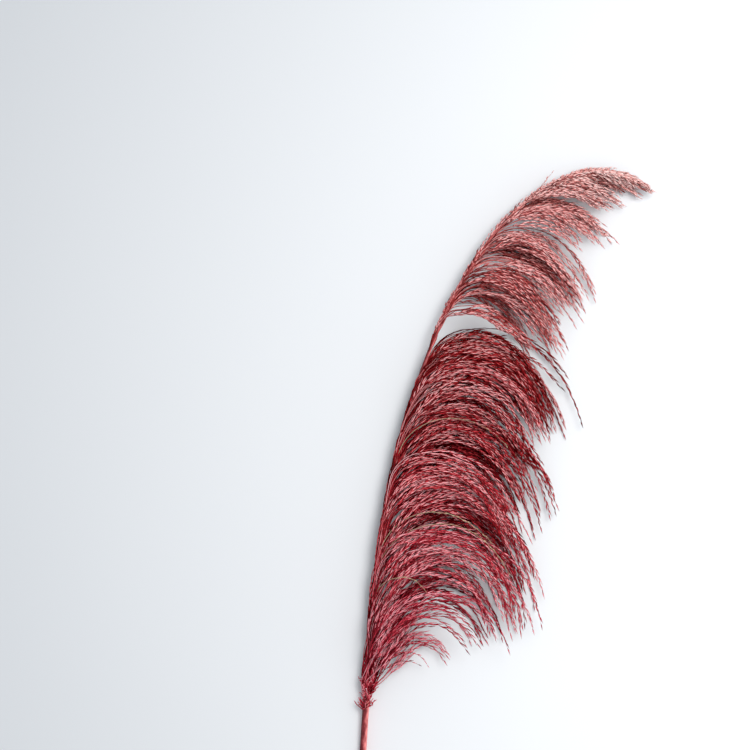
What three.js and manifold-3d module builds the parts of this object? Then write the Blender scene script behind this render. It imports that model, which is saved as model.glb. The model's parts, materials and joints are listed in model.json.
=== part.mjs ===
// A dyed pampas grass plume, as cut and dried, lying on its side.
//
// The culm lies along Y with its cut end towards -Y. Above it the rachis rises a little off the
// surface and nods over towards +X. Branches leave the rachis in locks, each lock a row of fine
// branchlets on a slender spine that hugs the rachis, and every branchlet arches over to +X and
// hangs back towards -Y, its outer part thick with small closed spikelets.
//
// Millimetres, +Z up, with the origin under the middle of the plume's box.

import * as THREE from "three";
import { mergeVertices } from "three/addons/utils/BufferGeometryUtils.js";
import Module from "manifold-3d";

const wasm = await Module();
wasm.setup();

// Driving dimensions of the culm and rachis
const CULM_LENGTH = 252;
const CULM_LEVEL_LENGTH = 110;
const CULM_RADIUS = 3.9;
const RACHIS_LENGTH = 693;
const RACHIS_BASE_RADIUS = 3.5;
const RACHIS_TIP_RADIUS = 0.7;
const RACHIS_RISE = 23;
const RACHIS_RISE_END = 180;
const RACHIS_FALL_START = 416;
const RACHIS_TIP_FALL = 12;
const STEM_SIDES = 8;
const CULM_STEP = 18;
const RACHIS_STEP = 13;

// How the rachis nods: its heading, turned from +Y towards +X, in degrees
const LEAN = 3.8;
const SLOW_NOD = 48;
const TIP_NOD = 84;

// Broken stubs of the lowest branches, in a ruff where the culm meets the rachis
const STUB_COUNT = 14;
const STUB_LOWEST = -24;
const STUB_HIGHEST = -3;
const STUB_SHORTEST = 7;
const STUB_LONGEST = 15;
const STUB_RADIUS = 0.75;
const STUB_ROOT_DEPTH = 2;
const STUB_LEAST_LEAN = 22;
const STUB_MOST_LEAN = 48;
const STUB_CROOK = 1.2;
const GOLDEN_TURN = 0.618034;

// Branchlets
const SEAT_GAP = 0.35;
const SPINE_BASE_RADIUS = 1.1;
const SPINE_TIP_RADIUS = 0.65;
const SPINE_STEP = 11;
const SPINE_END = 2;
const STRANDS_PER_LOCK = 5;
const STRAND_RADIUS = 1.3;
const STRAND_ROOT_RADIUS = 0.62;
const STRAND_WAIST = 0.75;
const STRAND_RINGS = 7;
const STRAND_TIP_THINNING = 0.45;
const LEAVE_WANDER = 5;
const HANG_WANDER = 8;
const LOCK_HANG_WANDER = 6;
const SHORTEST_PART = 0.55;
const LONGEST_PART = 1.1;
const DRAW_BEND = 1.3;
const RISE_SHARE = 0.4;
const TIP_SAG = 0.33;

// The branches stand round the rachis in five layers: angle from its +X side towards the top,
// and how far above the rachis the branchlets level out
const LAYERS = [
  { angle: -90, lift: -30 },
  { angle: -45, lift: -9 },
  { angle: 0, lift: 7 },
  { angle: 45, lift: 23 },
  { angle: 90, lift: 40 },
];
const LAYER_DEPTH = 8.4;

// Short branchlets rise less: the share of that lift which the shortest has, and the reach
// between which it grows to the whole
const LEAST_LIFT = 0.35;
const LEAST_LIFT_REACH = 30;
const FULL_LIFT_REACH = 170;

// The branchlets along the rachis: its share, their length, the heading in which their tips hang,
// how late they arch over, how closely those of a lock draw together, and the angle at which they
// leave the rachis
const REACH = [
  [0, 92, 90, 1.7, 0.2, 24],
  [0.015, 142, 148, 1.75, 0.2, 24],
  [0.03, 212, 163, 1.35, 0.25, 18],
  [0.07, 228, 167, 1.2, 0.3, 16],
  [0.1, 240, 173, 1.1, 0.35, 16],
  [0.14, 254, 180, 0.95, 0.4, 16],
  [0.18, 248, 175, 0.85, 0.4, 14],
  [0.23, 242, 167, 0.75, 0.45, 10],
  [0.29, 214, 162, 0.8, 0.45, 14],
  [0.38, 228, 167, 0.72, 0.45, 12],
  [0.42, 216, 160, 0.85, 0.45, 8],
  [0.5, 218, 164, 0.68, 0.5, 4],
  [0.53, 212, 160, 0.68, 0.5, 4],
  [0.58, 124, 138, 0.42, 0.6, 4],
  [0.6, 142, 161, 0.57, 0.5, 9],
  [0.63, 164, 157, 0.62, 0.5, 11],
  [0.66, 146, 150, 0.56, 0.5, 10],
  [0.72, 141, 152, 0.6, 0.45, 8],
  [0.74, 124, 144, 0.8, 0.45, 7],
  [0.79, 113, 140, 0.82, 0.4, 10],
  [0.82, 92, 123, 0.7, 0.4, 14],
  [0.86, 88, 123, 0.84, 0.4, 16],
  [0.91, 68, 115, 0.95, 0.4, 15],
  [1, 22, 110, 1, 0.4, 12],
];
const LENGTH = 1;
const HANG = 2;
const LATENESS = 3;
const CLOSENESS = 4;
const LEAVE = 5;

// One row for each lock, from the base up: share of the rachis, layer from the lowest to the
// highest, and the length of rachis that its branchlets leave from
const LOCKS = [
  [0.02, 2, 18],
  [0.04, 4, 28],
  [0.066, 0, 34],
  [0.095, 1, 40],
  [0.12, 3, 40],
  [0.145, 2, 44],
  [0.17, 4, 44],
  [0.195, 0, 44],
  [0.22, 1, 44],
  [0.245, 3, 44],
  [0.27, 2, 44],
  [0.295, 4, 44],
  [0.32, 0, 44],
  [0.345, 1, 44],
  [0.37, 3, 44],
  [0.395, 2, 44],
  [0.42, 4, 44],
  [0.445, 0, 44],
  [0.47, 3, 36],
  [0.492, 1, 28],
  [0.506, 2, 20],
  [0.582, 4, 12],
  [0.606, 0, 16],
  [0.613, 3, 18],
  [0.632, 1, 22],
  [0.638, 4, 20],
  [0.664, 2, 20],
  [0.69, 0, 24],
  [0.705, 3, 24],
  [0.718, 1, 20],
  [0.74, 4, 18],
  [0.765, 2, 22],
  [0.79, 0, 24],
  [0.82, 4, 26],
  [0.855, 2, 28],
  [0.9, 0, 30],
  [0.935, 4, 30],
];

const rad = THREE.MathUtils.degToRad;
const smooth = THREE.MathUtils.smoothstep;
const lerp = THREE.MathUtils.lerp;

// A repeatable draw from 0 to 1 for a lock, a branchlet and a use
function draw(lock, strand, use) {
  const wave = Math.sin(lock * 127.1 + strand * 311.7 + use * 74.7) * 43758.5453;
  return wave - Math.floor(wave);
}

// Two shares from -1 to 1 that together fill a square evenly, however many are taken
const ACROSS = 0.7548777;
const UPWARD = 0.5698403;

function spread(i, turn) {
  const share = 0.5 + i * turn;
  return (share - Math.floor(share)) * 2 - 1;
}

// A column of the reach table at a share of the rachis
function reach(share, column) {
  const above = Math.max(1, REACH.findIndex(([at]) => at >= share));
  const low = REACH[above - 1];
  const high = REACH[above];
  return lerp(low[column], high[column], (share - low[0]) / (high[0] - low[0]));
}

// The line of the culm and rachis, by the distance s along it from where they meet

function rachisHeading(s) {
  const share = Math.max(0, s / RACHIS_LENGTH);
  return rad(LEAN + SLOW_NOD * share ** 1.6 + TIP_NOD * share ** 8);
}

function rachisRadius(s) {
  if (s < 0) return lerp(RACHIS_BASE_RADIUS, CULM_RADIUS, -s / CULM_LENGTH);
  const left = Math.max(0, 1 - s / RACHIS_LENGTH);
  return RACHIS_TIP_RADIUS + (RACHIS_BASE_RADIUS - RACHIS_TIP_RADIUS) * left ** 1.2;
}

// Height of the line: the culm's flat underside lies on the surface, then the rachis rises
function rachisHeight(s) {
  const lying = rachisRadius(Math.min(s, 0)) * Math.cos(Math.PI / STEM_SIDES);
  const up = smooth(s, CULM_LEVEL_LENGTH - CULM_LENGTH, RACHIS_RISE_END);
  const down = smooth(s, RACHIS_FALL_START, RACHIS_LENGTH);
  return lying + RACHIS_RISE * up - RACHIS_TIP_FALL * down;
}

// The rachis in plan, in steps of 1 mm, found by adding up its heading
const rachisPlan = [new THREE.Vector2(0, 0)];
for (let s = 0; s < RACHIS_LENGTH; s++) {
  const heading = rachisHeading(s + 0.5);
  rachisPlan.push(new THREE.Vector2(Math.sin(heading), Math.cos(heading)).add(rachisPlan[s]));
}

function rachisPoint(s) {
  const step = THREE.MathUtils.clamp(Math.floor(s), 0, rachisPlan.length - 2);
  const heading = rachisHeading(step);
  const along = new THREE.Vector2(Math.sin(heading), Math.cos(heading));
  const plan = rachisPlan[step].clone().addScaledVector(along, s - step);
  return new THREE.Vector3(plan.x, plan.y, rachisHeight(s));
}

// A point beside the rachis, at an angle round it from its +X side towards the top
function besideRachis(s, angle, distance) {
  const heading = rachisHeading(s);
  return rachisPoint(s).add(
    new THREE.Vector3(
      Math.cos(heading) * Math.cos(angle),
      -Math.sin(heading) * Math.cos(angle),
      Math.sin(angle),
    ).multiplyScalar(distance),
  );
}

// Solids

// A closed tube through points, with a radius at each. It stands on a flat side, or on a corner
// where it is braided, and then every other ring is turned by half a side. A last radius of
// nothing brings it to a point.
function tube(points, radii, sides, braided) {
  const pointed = radii.at(-1) === 0;
  const rings = pointed ? points.length - 1 : points.length;
  const position = [];
  const index = [];
  for (let i = 0; i < rings; i++) {
    const before = points[Math.max(i - 1, 0)];
    const after = points[Math.min(i + 1, points.length - 1)];
    const tangent = after.clone().sub(before).normalize();
    const side = new THREE.Vector3(tangent.y, -tangent.x, 0).normalize();
    const top = new THREE.Vector3().crossVectors(side, tangent);
    const turn = braided ? (i % 2) / 2 : 0.5;
    for (let j = 0; j < sides; j++) {
      const angle = ((j + turn) * 2 * Math.PI) / sides - Math.PI / 2;
      const at = points[i].clone();
      at.addScaledVector(side, Math.cos(angle) * radii[i]);
      at.addScaledVector(top, Math.sin(angle) * radii[i]);
      position.push(at.x, at.y, at.z);
    }
  }
  for (let i = 0; i < rings - 1; i++) {
    for (let j = 0; j < sides; j++) {
      const a = i * sides + j;
      const b = i * sides + ((j + 1) % sides);
      const c = a + sides;
      const d = b + sides;
      if (braided && i % 2) index.push(a, d, b, a, c, d);
      else index.push(a, c, b, b, c, d);
    }
  }
  for (let j = 1; j < sides - 1; j++) index.push(0, j, j + 1);
  const last = (rings - 1) * sides;
  if (pointed) {
    const tip = points.at(-1);
    position.push(tip.x, tip.y, tip.z);
    for (let j = 0; j < sides; j++) index.push(last + ((j + 1) % sides), last + j, rings * sides);
  } else {
    for (let j = 1; j < sides - 1; j++) index.push(last, last + j + 1, last + j);
  }
  const geometry = new THREE.BufferGeometry();
  geometry.setAttribute("position", new THREE.Float32BufferAttribute(position, 3));
  geometry.setIndex(index);
  return geometry;
}

function solidOf(geometry) {
  const merged = mergeVertices(geometry, 1e-4);
  return new wasm.Manifold(
    new wasm.Mesh({
      numProp: 3,
      vertProperties: merged.getAttribute("position").array,
      triVerts: new Uint32Array(merged.index.array),
    }),
  );
}

function fuse(geometries) {
  const mesh = wasm.Manifold.union(geometries.map(solidOf)).simplify(0.01).getMesh();
  const geometry = new THREE.BufferGeometry();
  geometry.setAttribute("position", new THREE.BufferAttribute(mesh.vertProperties, 3));
  geometry.setIndex(new THREE.BufferAttribute(mesh.triVerts, 1));
  geometry.computeVertexNormals();
  return geometry;
}

// Culm and rachis, one stalk, with the ruff of stubs grown from it

function stalk() {
  const points = [];
  const radii = [];
  const rings = [-CULM_LENGTH, CULM_LEVEL_LENGTH - CULM_LENGTH];
  for (let s = rings[1] + CULM_STEP; s < RACHIS_LENGTH - RACHIS_STEP / 2; ) {
    rings.push(s);
    s += s < 0 ? CULM_STEP : RACHIS_STEP;
  }
  rings.push(RACHIS_LENGTH);
  for (const s of rings) {
    points.push(rachisPoint(s));
    radii.push(rachisRadius(s));
  }
  return tube(points, radii, STEM_SIDES, false);
}

// A stub leaves the stalk, bends up along it and ends broken off
function stub(number) {
  const s = lerp(STUB_LOWEST, STUB_HIGHEST, draw(number, 0, 8));
  const angle = 2 * Math.PI * ((number * GOLDEN_TURN) % 1);
  const length = lerp(STUB_SHORTEST, STUB_LONGEST, draw(number, 0, 9));
  const lean = rad(lerp(STUB_LEAST_LEAN, STUB_MOST_LEAN, draw(number, 0, 10)));
  const inside = rachisRadius(s) - STUB_ROOT_DEPTH;
  const points = [];
  for (const along of [0, 0.45, 1]) {
    const crook = along > 0 ? STUB_CROOK * draw(number, along, 11) : 0;
    const outward = inside + (length + STUB_ROOT_DEPTH) * Math.sin(lean) * along ** 0.8 + crook;
    const point = besideRachis(s + length * Math.cos(lean) * along, angle, outward);
    point.z = Math.max(point.z, STUB_RADIUS);
    points.push(point);
  }
  return tube(points, [STUB_RADIUS, STUB_RADIUS, 0.6 * STUB_RADIUS], 4, false);
}

function stem() {
  const stubs = Array.from({ length: STUB_COUNT }, (_, number) => stub(number));
  return fuse([stalk(), ...stubs]);
}

// Locks of branchlets

const STRAND_STEPS = 30;
const LYING_HEIGHT = STRAND_RADIUS * STRAND_WAIST;

function spineRadius(s) {
  return lerp(SPINE_BASE_RADIUS, SPINE_TIP_RADIUS, s / RACHIS_LENGTH);
}

function spinePoint(s, layer) {
  const distance = rachisRadius(s) + SEAT_GAP + spineRadius(s);
  return besideRachis(s, rad(LAYERS[layer].angle), distance);
}

// The free line of one branchlet, from where it leaves the spine to its tip, never lower than
// where it lies on the surface
function freeLine(s, layer, length, start, hang, lift) {
  const root = spinePoint(s, layer);
  const points = [root];
  const ownReach = reach(s / RACHIS_LENGTH, LENGTH);
  const lateness = reach(s / RACHIS_LENGTH, LATENESS);
  const share = lerp(LEAST_LIFT, 1, smooth(ownReach, LEAST_LIFT_REACH, FULL_LIFT_REACH));
  const level = Math.max(rachisHeight(s) + (LAYERS[layer].lift + lift) * share, LYING_HEIGHT);
  for (let i = 1; i <= STRAND_STEPS; i++) {
    const middle = ((i - 0.5) / STRAND_STEPS) ** lateness;
    const heading = lerp(start, hang, (middle + smooth(middle, 0, 1)) / 2);
    const t = i / STRAND_STEPS;
    const height = lerp(root.z, level, smooth(t, 0, RISE_SHARE)) * (1 - TIP_SAG * t * t);
    points.push(
      new THREE.Vector3(
        points[i - 1].x + (Math.sin(heading) * length) / STRAND_STEPS,
        points[i - 1].y + (Math.cos(heading) * length) / STRAND_STEPS,
        Math.max(height, LYING_HEIGHT),
      ),
    );
  }
  return points;
}

// The branchlets of one lock fan out of its spine and are drawn together towards their tips
function strandLines(number, [share, layer, width], count) {
  const middle = share * RACHIS_LENGTH;
  const length = reach(share, LENGTH) * lerp(0.92, 1.04, draw(number, 0, 1));
  const hang = reach(share, HANG) + LOCK_HANG_WANDER * (2 * draw(number, 0, 2) - 1);
  const leave = reach(share, LEAVE);
  const start = rachisHeading(middle) + rad(leave);
  const centre = freeLine(middle, layer, length, start, rad(hang), 0);
  const lines = [];
  for (let i = 0; i < count; i++) {
    const s = Math.min(middle + (spread(i, ACROSS) * width) / 2, RACHIS_LENGTH - 2);
    const line = freeLine(
      s,
      layer,
      length * lerp(SHORTEST_PART, LONGEST_PART, draw(number, i, 3) ** 2),
      rachisHeading(s) + rad(leave + LEAVE_WANDER * (2 * draw(number, i, 4) - 1)),
      rad(hang + HANG_WANDER * (2 * draw(number, i, 5) - 1)),
      (LAYER_DEPTH / 2) * spread(i, UPWARD),
    );
    line.forEach((point, k) => {
      const pull = reach(share, CLOSENESS) * (k / STRAND_STEPS) ** DRAW_BEND;
      point.x = lerp(point.x, centre[k].x, pull);
      point.y = lerp(point.y, centre[k].y, pull);
    });
    lines.push(line);
  }
  return lines;
}

function strandRadius(t) {
  const body = lerp(STRAND_ROOT_RADIUS, STRAND_RADIUS, smooth(t, 0.05, 0.3));
  return body * (1 - STRAND_TIP_THINNING * smooth(t, 0.7, 1));
}

// One branchlet: a braid of closed spikelets that comes to a point
function strand(line) {
  const points = [];
  const radii = [];
  for (let i = 0; i < STRAND_RINGS; i++) {
    const t = i / (STRAND_RINGS - 1);
    points.push(line[t * STRAND_STEPS]);
    radii.push(t < 1 ? strandRadius(t) * (i % 2 ? 1 : STRAND_WAIST) : 0);
  }
  return tube(points, radii, 3, true);
}

function spine([share, layer, width]) {
  const steps = Math.ceil(width / SPINE_STEP);
  const points = [];
  const radii = [];
  for (let i = 0; i <= steps; i++) {
    const s = share * RACHIS_LENGTH + (i / steps - 0.5) * (width + 2 * SPINE_END);
    points.push(spinePoint(s, layer));
    radii.push(spineRadius(s));
  }
  return tube(points, radii, 4, false);
}

function lock(number, row) {
  const lines = strandLines(number, row, STRANDS_PER_LOCK);
  return fuse([spine(row), ...lines.map(strand)]);
}

// The plume

const stemMaterial = new THREE.MeshStandardMaterial({ color: 0xc0565a, roughness: 0.6 });
const strandMaterial = new THREE.MeshStandardMaterial({ color: 0x8e2f3c, roughness: 0.8 });

const plume = new THREE.Group();

function add(name, geometry, material) {
  const mesh = new THREE.Mesh(geometry, material);
  mesh.name = name;
  plume.add(mesh);
}

add("stem", stem(), stemMaterial);
LOCKS.forEach((row, number) => {
  add(`lock_${String(number + 1).padStart(2, "0")}`, lock(number, row), strandMaterial);
});

const box = new THREE.Box3().setFromObject(plume);
const middle = box.getCenter(new THREE.Vector3());
plume.position.set(-middle.x, -middle.y, -box.min.z);

export default plume;
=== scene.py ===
# A dyed and dried pampas grass plume, lying on a pale surface and seen from straight above.
#
# Lengths are millimetres in the plume's own frame, with its origin where the culm meets the
# rachis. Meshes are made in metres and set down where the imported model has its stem.

import json
import math

import bpy
import numpy as np
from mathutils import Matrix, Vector

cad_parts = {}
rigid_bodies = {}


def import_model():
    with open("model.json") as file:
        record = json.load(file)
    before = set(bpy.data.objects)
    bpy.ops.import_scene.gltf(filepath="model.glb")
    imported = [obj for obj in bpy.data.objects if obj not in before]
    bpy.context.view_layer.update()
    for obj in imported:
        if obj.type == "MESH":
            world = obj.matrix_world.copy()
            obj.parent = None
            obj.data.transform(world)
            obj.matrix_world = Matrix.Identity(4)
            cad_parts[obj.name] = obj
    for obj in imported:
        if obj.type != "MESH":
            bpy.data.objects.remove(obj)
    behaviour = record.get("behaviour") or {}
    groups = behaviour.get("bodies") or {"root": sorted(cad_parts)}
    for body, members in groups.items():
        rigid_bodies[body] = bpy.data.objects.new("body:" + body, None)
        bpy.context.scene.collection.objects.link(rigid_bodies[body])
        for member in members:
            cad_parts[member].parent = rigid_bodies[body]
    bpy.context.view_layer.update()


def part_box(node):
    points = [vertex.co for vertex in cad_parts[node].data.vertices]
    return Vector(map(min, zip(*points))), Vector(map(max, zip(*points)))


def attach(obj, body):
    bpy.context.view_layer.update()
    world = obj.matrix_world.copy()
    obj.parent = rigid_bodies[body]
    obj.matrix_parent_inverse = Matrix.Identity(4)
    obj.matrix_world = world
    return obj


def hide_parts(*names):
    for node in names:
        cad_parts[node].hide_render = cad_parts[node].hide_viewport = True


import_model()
scene_objects = bpy.context.scene.collection.objects


# The camera
#
# A long lens looks straight down on the laid plume, so that its outline shows with no tilt.
# The cut end of the culm lies below the picture.

MM = 0.001
PICTURE_CENTRE = (-131.5, 183.5)
PICTURE_WIDTH = 787.5
CAMERA_HEIGHT = 4000
FOCUS_HEIGHT = 32
SENSOR_WIDTH = 36

camera = bpy.data.objects.new("camera", bpy.data.cameras.new("camera"))
camera.location = Vector((*PICTURE_CENTRE, CAMERA_HEIGHT)) * MM
camera.data.sensor_width = SENSOR_WIDTH
camera.data.lens = SENSOR_WIDTH * (CAMERA_HEIGHT - FOCUS_HEIGHT) / PICTURE_WIDTH
scene_objects.link(camera)
bpy.context.scene.camera = camera
bpy.context.scene.view_settings.view_transform = "Standard"


# The light
#
# One wide, soft lamp stands to the right of the plume and above it, aimed past the plume, so
# that its light falls off towards the left. The room gives back a slightly blue light.

LAMP_PLACE = (1080, 760, 2300)
LAMP_AIM = (640, 160, 0)
LAMP_RADIUS = 1100
LAMP_ANGLE = 49
LAMP_POWER = 575
LAMP_COLOUR = (1.0, 0.985, 0.965)
ROOM_COLOUR = (0.92, 0.955, 1.0, 1)
ROOM_STRENGTH = 0.63

lamp = bpy.data.objects.new("lamp", bpy.data.lights.new("lamp", "SPOT"))
lamp.data.spot_size = math.radians(LAMP_ANGLE)
lamp.data.spot_blend = 1
lamp.data.shadow_soft_size = LAMP_RADIUS * MM
lamp.data.energy = LAMP_POWER
lamp.data.color = LAMP_COLOUR
lamp.location = Vector(LAMP_PLACE) * MM
lamp.rotation_euler = (Vector(LAMP_AIM) - Vector(LAMP_PLACE)).to_track_quat("-Z", "Y").to_euler()
scene_objects.link(lamp)

room = bpy.data.worlds.new("room")
room.use_nodes = True
room.node_tree.nodes["Background"].inputs["Color"].default_value = ROOM_COLOUR
room.node_tree.nodes["Background"].inputs["Strength"].default_value = ROOM_STRENGTH
bpy.context.scene.world = room


# The surface
#
# The plume lies on a plain, matt, pale board. It is painted all over, and the paint is very
# slightly uneven.

SURFACE_SIDE = 9000
SURFACE_DROP = 0.3
SURFACE_COLOUR = (0.785, 0.805, 0.825, 1)
SURFACE_SHADE = (0.76, 0.782, 0.806, 1)


def arithmetic(operation, reflected=False):
    """An operator of Signal that adds a Math node."""

    def add_node(self, other):
        pair = [other, self] if reflected else [self, other]
        return self.finish.node("ShaderNodeMath", {"operation": operation}, pair)

    return add_node


class Signal:
    """An output of a node in a finish. Arithmetic on it adds Math nodes."""

    def __init__(self, finish, socket):
        self.finish = finish
        self.socket = socket

    __add__ = __radd__ = arithmetic("ADD")
    __mul__ = __rmul__ = arithmetic("MULTIPLY")
    __sub__ = arithmetic("SUBTRACT")
    __rsub__ = arithmetic("SUBTRACT", reflected=True)


class Finish:
    """A material, made of one Principled BSDF and the nodes that feed it."""

    def __init__(self, name):
        self.material = bpy.data.materials.new(name)
        self.material.use_nodes = True
        self.tree = self.material.node_tree
        self.surface = self.tree.nodes["Principled BSDF"]

    def join(self, node, sockets):
        pairs = sockets.items() if isinstance(sockets, dict) else enumerate(sockets)
        for place, value in pairs:
            if isinstance(value, Signal):
                self.tree.links.new(value.socket, node.inputs[place])
            else:
                node.inputs[place].default_value = value

    def node(self, kind, settings, sockets=(), output=0):
        node = self.tree.nodes.new(kind)
        for name, value in settings.items():
            if name == "stops":
                ramp = node.color_ramp.elements
                while len(ramp) < len(value):
                    ramp.new(1)
                for element, (place, colour) in zip(ramp, value):
                    element.position = place
                    element.color = colour
            else:
                setattr(node, name, value)
        self.join(node, sockets)
        return Signal(self, node.outputs[output])

    def mix(self, share, first, second):
        """A Mix node set to colours, whose two colours are its inputs 6 and 7, and its output 2."""
        sockets = {"Factor": share, 6: first, 7: second}
        return self.node("ShaderNodeMix", {"data_type": "RGBA"}, sockets, 2)

    def paint(self, **values):
        self.join(self.surface, {name.replace("_", " "): v for name, v in values.items()})
        return self.material


def matt_paint():
    paint = Finish("matt_paint")
    place = paint.node("ShaderNodeTexCoord", {}, output="Object")
    clouds = paint.node("ShaderNodeTexNoise", {}, {"Vector": place, "Scale": 1.6, "Detail": 2.0})
    colour = paint.mix(clouds, SURFACE_SHADE, SURFACE_COLOUR)
    return paint.paint(Base_Color=colour, Roughness=0.85)


half = SURFACE_SIDE / 2 * MM
board = bpy.data.meshes.new("surface")
corners = [(-half, -half, 0), (half, -half, 0), (half, half, 0), (-half, half, 0)]
board.from_pydata(corners, [], [(0, 1, 2, 3)])
board.materials.append(matt_paint())
surface = bpy.data.objects.new("surface", board)
surface.location.z = -SURFACE_DROP * MM
scene_objects.link(surface)


# The stalk: culm and rachis
#
# One round, slightly ridged stalk, dyed with the rest and streaked dark maroon along its fibres.
# One side of it is painted dark maroon as shade and the other salmon pink as lit, and it is salmon
# pink also where its fibres are pale. It is the plant's own axis, and all else grows from it.

CULM_LENGTH = 252
CULM_LEVEL_LENGTH = 110
CULM_RADIUS = 3.9
RACHIS_LENGTH = 693
RACHIS_BASE_RADIUS = 3.5
RACHIS_TIP_RADIUS = 0.7
RACHIS_TAPER = 1.2
RACHIS_RISE = 23
RACHIS_RISE_END = 180
RACHIS_FALL_START = 416
RACHIS_TIP_FALL = 12
SOLID_STEM_SIDES = 8
SOLID_STEM_LAST_STEP = 13
LEAN = 3.8
SLOW_NOD = 48
SLOW_NOD_BEND = 1.6
TIP_NOD = 84
TIP_NOD_BEND = 8

STALK_SIDES = 28
STALK_STEP = 5
RIDGE_DEPTH = 0.045
SWELL = 0.012
SWELL_LENGTH = 17
SWELL_LOBES = 3
SWELL_TWIST = 90
FIBRE_RAG = 0.5
FIBRE_RAG_MIDDLE = 0.6

STALK_MAROON = (0.09, 0.003, 0.006, 1)
STALK_ROSE = (0.40, 0.045, 0.055, 1)
STALK_SALMON = (0.95, 0.29, 0.28, 1)
GRAIN_LENGTH = 100
STREAK_STRETCH = (5, 11, 1)
FIBRE_STRETCH = (34, 26, 1)
# Painted shade on one side of the stalk, and painted light on the other
SHADED_SIDE_TURN = 1.26
PAINTED_SHADE_SIDE = 0.6
DARK_SHARE = 0.36
STREAK_DARKNESS = 1.4
FIBRE_DARKNESS = 0.9
THIN_DYE_AND_LIGHT = 1.6
FIBRE_PALENESS = 1.2
FIBRE_MIDDLE = 0.45
STALK_GLOSSIEST = 0.38
STALK_ROUGHER = 0.3


def smooth(x, low, high):
    """From 0 at low to 1 at high, with soft ends. Low may be the larger of the two."""
    share = np.clip((np.asarray(x, float) - low) / (high - low), 0, 1)
    return share * share * (3 - 2 * share)


def between(low, high, share):
    return low + (high - low) * share


def rachis_heading(s):
    share = np.maximum(0, np.asarray(s, float) / RACHIS_LENGTH)
    return np.radians(LEAN + SLOW_NOD * share**SLOW_NOD_BEND + TIP_NOD * share**TIP_NOD_BEND)


def rachis_radius(s):
    s = np.asarray(s, float)
    left = np.clip(1 - s / RACHIS_LENGTH, 0, 1)
    rachis = between(RACHIS_TIP_RADIUS, RACHIS_BASE_RADIUS, left**RACHIS_TAPER)
    culm = between(RACHIS_BASE_RADIUS, CULM_RADIUS, -s / CULM_LENGTH)
    return np.where(s < 0, culm, rachis)


def rachis_height(s):
    lying = rachis_radius(np.minimum(s, 0)) * math.cos(math.pi / SOLID_STEM_SIDES)
    up = smooth(s, CULM_LEVEL_LENGTH - CULM_LENGTH, RACHIS_RISE_END)
    down = smooth(s, RACHIS_FALL_START, RACHIS_LENGTH)
    return lying + RACHIS_RISE * up - RACHIS_TIP_FALL * down


step_headings = rachis_heading(np.arange(RACHIS_LENGTH) + 0.5)
plan_steps = np.stack([np.sin(step_headings), np.cos(step_headings)], -1)
rachis_plan = np.concatenate([np.zeros((1, 2)), np.cumsum(plan_steps, 0)])


def rachis_point(s):
    s = np.asarray(s, float)
    step = np.clip(np.floor(s), 0, RACHIS_LENGTH - 1).astype(int)
    heading = rachis_heading(step)
    on = s - step
    x = rachis_plan[step, 0] + np.sin(heading) * on
    y = rachis_plan[step, 1] + np.cos(heading) * on
    return np.stack([x, y, rachis_height(s)], -1)


def beside_rachis(s, angle, distance):
    """Points beside the rachis, at an angle round it from its +X side towards the top."""
    heading = rachis_heading(s)
    x = np.cos(heading) * np.cos(angle)
    y = -np.sin(heading) * np.cos(angle)
    out = np.stack([x, y, np.sin(angle) + 0 * heading], -1)
    return rachis_point(s) + out * np.asarray(distance, float)[..., None]


def unit(vectors):
    return vectors / np.maximum(np.linalg.norm(vectors, axis=-1, keepdims=True), 1e-9)


def across_lines(along):
    """The level side and the upper side of lines that run in the directions given."""
    side = unit(np.stack([along[..., 1], -along[..., 0], 0 * along[..., 0]], -1))
    return side, np.cross(side, along)


def spokes(turn, side, top):
    """Directions at each turn round lines, from their level side towards their upper side."""
    return np.cos(turn)[:, None] * side[..., None, :] + np.sin(turn)[:, None] * top[..., None, :]


def frames(lines):
    """The direction, the level side and the upper side of lines, at each of their points."""
    along = unit(np.gradient(lines, axis=-2))
    return along, *across_lines(along)


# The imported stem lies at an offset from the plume's own frame. The near corner of its cut end
# and the outermost side of its tip give the two parts of it.

ends = np.array([-CULM_LENGTH, RACHIS_LENGTH], float)
ring = (np.arange(SOLID_STEM_SIDES) + 0.5) * math.tau / SOLID_STEM_SIDES - math.pi / 2
neighbours = [CULM_LEVEL_LENGTH - CULM_LENGTH, RACHIS_LENGTH - SOLID_STEM_LAST_STEP]
towards = unit(rachis_point(neighbours) - rachis_point(ends)) * np.array([[1], [-1]])
outline = spokes(ring, *across_lines(towards)) * rachis_radius(ends)[:, None, None]
outline = rachis_point(ends)[:, None] + outline
stem_low, stem_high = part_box("stem")
offset_x = stem_high.x / MM - outline[1, :, 0].max()
offset_y = stem_low.y / MM - outline[0, :, 1].min()
OFFSET = np.array([offset_x, offset_y, 0.0])


def add_map(mesh, name, places):
    """A UV map, from its places in the order of the corners of the mesh's faces."""
    layer = mesh.uv_layers.new(name=name)
    layer.uv.foreach_set("vector", places.astype(np.float32).ravel())


def keep_above(points, height):
    """Points lifted in place, where they lie below a height over the board."""
    points[..., 2] = np.maximum(points[..., 2], height)


def make_piece(name, points, faces, material):
    """A mesh object from points in the plume's frame and triangles or four-sided faces."""
    mesh = bpy.data.meshes.new(name)
    sides = faces.shape[1]
    mesh.vertices.add(len(points))
    mesh.vertices.foreach_set("co", ((points + OFFSET) * MM).astype(np.float32).ravel())
    mesh.loops.add(faces.size)
    mesh.loops.foreach_set("vertex_index", faces.astype(np.int32).ravel())
    mesh.polygons.add(len(faces))
    mesh.polygons.foreach_set("loop_start", np.arange(0, faces.size, sides, dtype=np.int32))
    mesh.polygons.foreach_set("use_smooth", np.ones(len(faces), bool))
    mesh.update()
    mesh.validate()
    mesh.materials.append(material)
    piece = bpy.data.objects.new(name, mesh)
    scene_objects.link(piece)
    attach(piece, "root")
    return piece


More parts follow.
